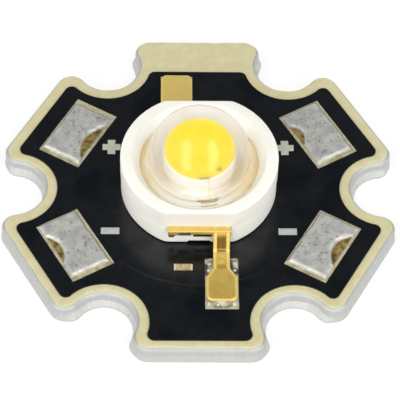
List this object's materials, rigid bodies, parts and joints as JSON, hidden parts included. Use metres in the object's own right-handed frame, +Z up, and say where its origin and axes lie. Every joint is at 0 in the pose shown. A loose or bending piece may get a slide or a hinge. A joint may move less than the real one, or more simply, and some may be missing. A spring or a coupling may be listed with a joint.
{
  "type": "star-board power led",
  "caption": "Flat six-armed star circuit board with an aluminium core, tinned wire pads and a white round emitter under a clear dome lens.",
  "frame": {"origin": "centre of the board's bare back face", "axes": "+Z up through the lens, -Y towards the cathode lead, +X to the right of it"},
  "size_m": [0.0202, 0.0202, 0.0064],
  "materials": {
    "aluminium": "punched plate, bare metal",
    "insulation": "satin cream laminate",
    "copper": "foil under the mask",
    "mask": "satin black solder mask",
    "solder": "pitted, frosted solder with brighter rims",
    "ink": "pale grey print",
    "slug": "silver plated",
    "body": "white moulded plastic, satin",
    "gold": "gold plating",
    "chip": "semiconductor chip",
    "phosphor": "yellow phosphor in silicone",
    "gel": "clear soft silicone",
    "lens": "clear moulded dome",
    "sealant": "amber silicone bead"
  },
  "bodies": {
    "root": {"aluminium_base": "aluminium", "insulation_layer": "insulation", "copper_anode": "copper", "copper_cathode": "copper", "copper_thermal_pad": "copper", "solder_mask": "mask", "solder_positive_left": "solder", "solder_positive_right": "solder", "solder_negative_left": "solder", "solder_negative_right": "solder", "plus_mark_left": "ink", "plus_mark_right": "ink", "minus_mark_left": "ink", "minus_mark_right": "ink", "slug_solder": "solder", "heat_slug": "slug", "emitter_body": "body", "anode_lead": "gold", "cathode_lead": "gold", "anode_solder": "solder", "cathode_solder": "solder", "die_attach": "solder", "led_chip": "chip", "bond_wire_anode": "gold", "bond_wire_cathode": "gold", "phosphor": "phosphor", "silicone_gel": "gel", "lens": "lens", "lens_sealant": "sealant"}
  },
  "joints": []
}
